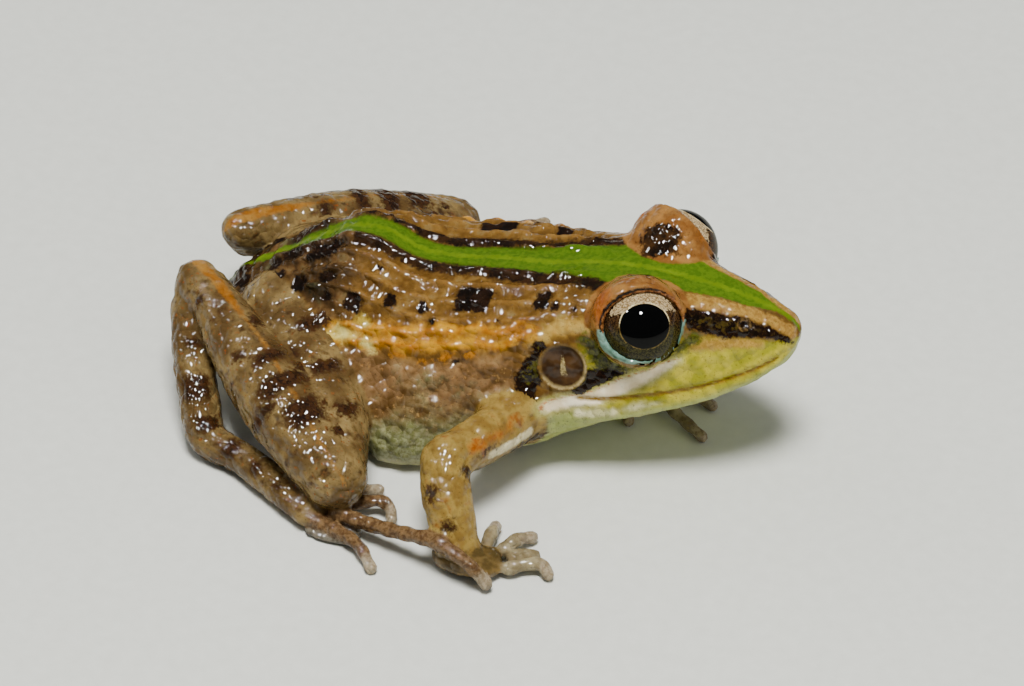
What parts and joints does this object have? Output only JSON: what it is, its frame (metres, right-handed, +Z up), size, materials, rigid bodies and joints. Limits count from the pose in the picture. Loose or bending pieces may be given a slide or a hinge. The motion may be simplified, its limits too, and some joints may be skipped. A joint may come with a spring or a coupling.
{
  "type": "mascarene ridged frog",
  "caption": "Small ridged frog sitting with folded hind legs: long pointed head, large eyes, skin ridges and a green stripe along the back.",
  "frame": {"origin": "on the floor, under the middle of the bounding box of the whole animal", "axes": "+X forward past the snout, +Y to the animal's left, +Z up from the floor"},
  "size_m": [0.046, 0.0424, 0.0166],
  "materials": {
    "body_skin": "wet glossy skin, tan brown with a green stripe along the back, dark marks and a pale belly",
    "limb_skin": "wet glossy skin, tan brown with dark cross bars",
    "digit_skin": "wet brown skin with pale tips",
    "web": "thin grey brown web between the toes",
    "tympanum": "smooth brown ear drum with a pale rim",
    "eye": "clear wet dome over a dark iris with a gold ring"
  },
  "bodies": {
    "root": {"head": "body_skin", "torso": "body_skin", "eye_right": "eye", "tympanum_right": "tympanum", "thigh_right": "limb_skin", "shank_right": "limb_skin", "tarsus_right": "limb_skin", "foot_right": "limb_skin", "web_right": "web", "toe_1_right": "digit_skin", "toe_2_right": "digit_skin", "toe_3_right": "digit_skin", "toe_4_right": "digit_skin", "toe_5_right": "digit_skin", "upper_arm_right": "limb_skin", "forearm_right": "limb_skin", "hand_right": "limb_skin", "finger_1_right": "digit_skin", "finger_2_right": "digit_skin", "finger_3_right": "digit_skin", "finger_4_right": "digit_skin", "eye_left": "eye", "tympanum_left": "tympanum", "thigh_left": "limb_skin", "shank_left": "limb_skin", "tarsus_left": "limb_skin", "foot_left": "limb_skin", "web_left": "web", "toe_1_left": "digit_skin", "toe_2_left": "digit_skin", "toe_3_left": "digit_skin", "toe_4_left": "digit_skin", "toe_5_left": "digit_skin", "upper_arm_left": "limb_skin", "forearm_left": "limb_skin", "hand_left": "limb_skin", "finger_1_left": "digit_skin", "finger_2_left": "digit_skin", "finger_3_left": "digit_skin", "finger_4_left": "digit_skin"}
  },
  "joints": []
}
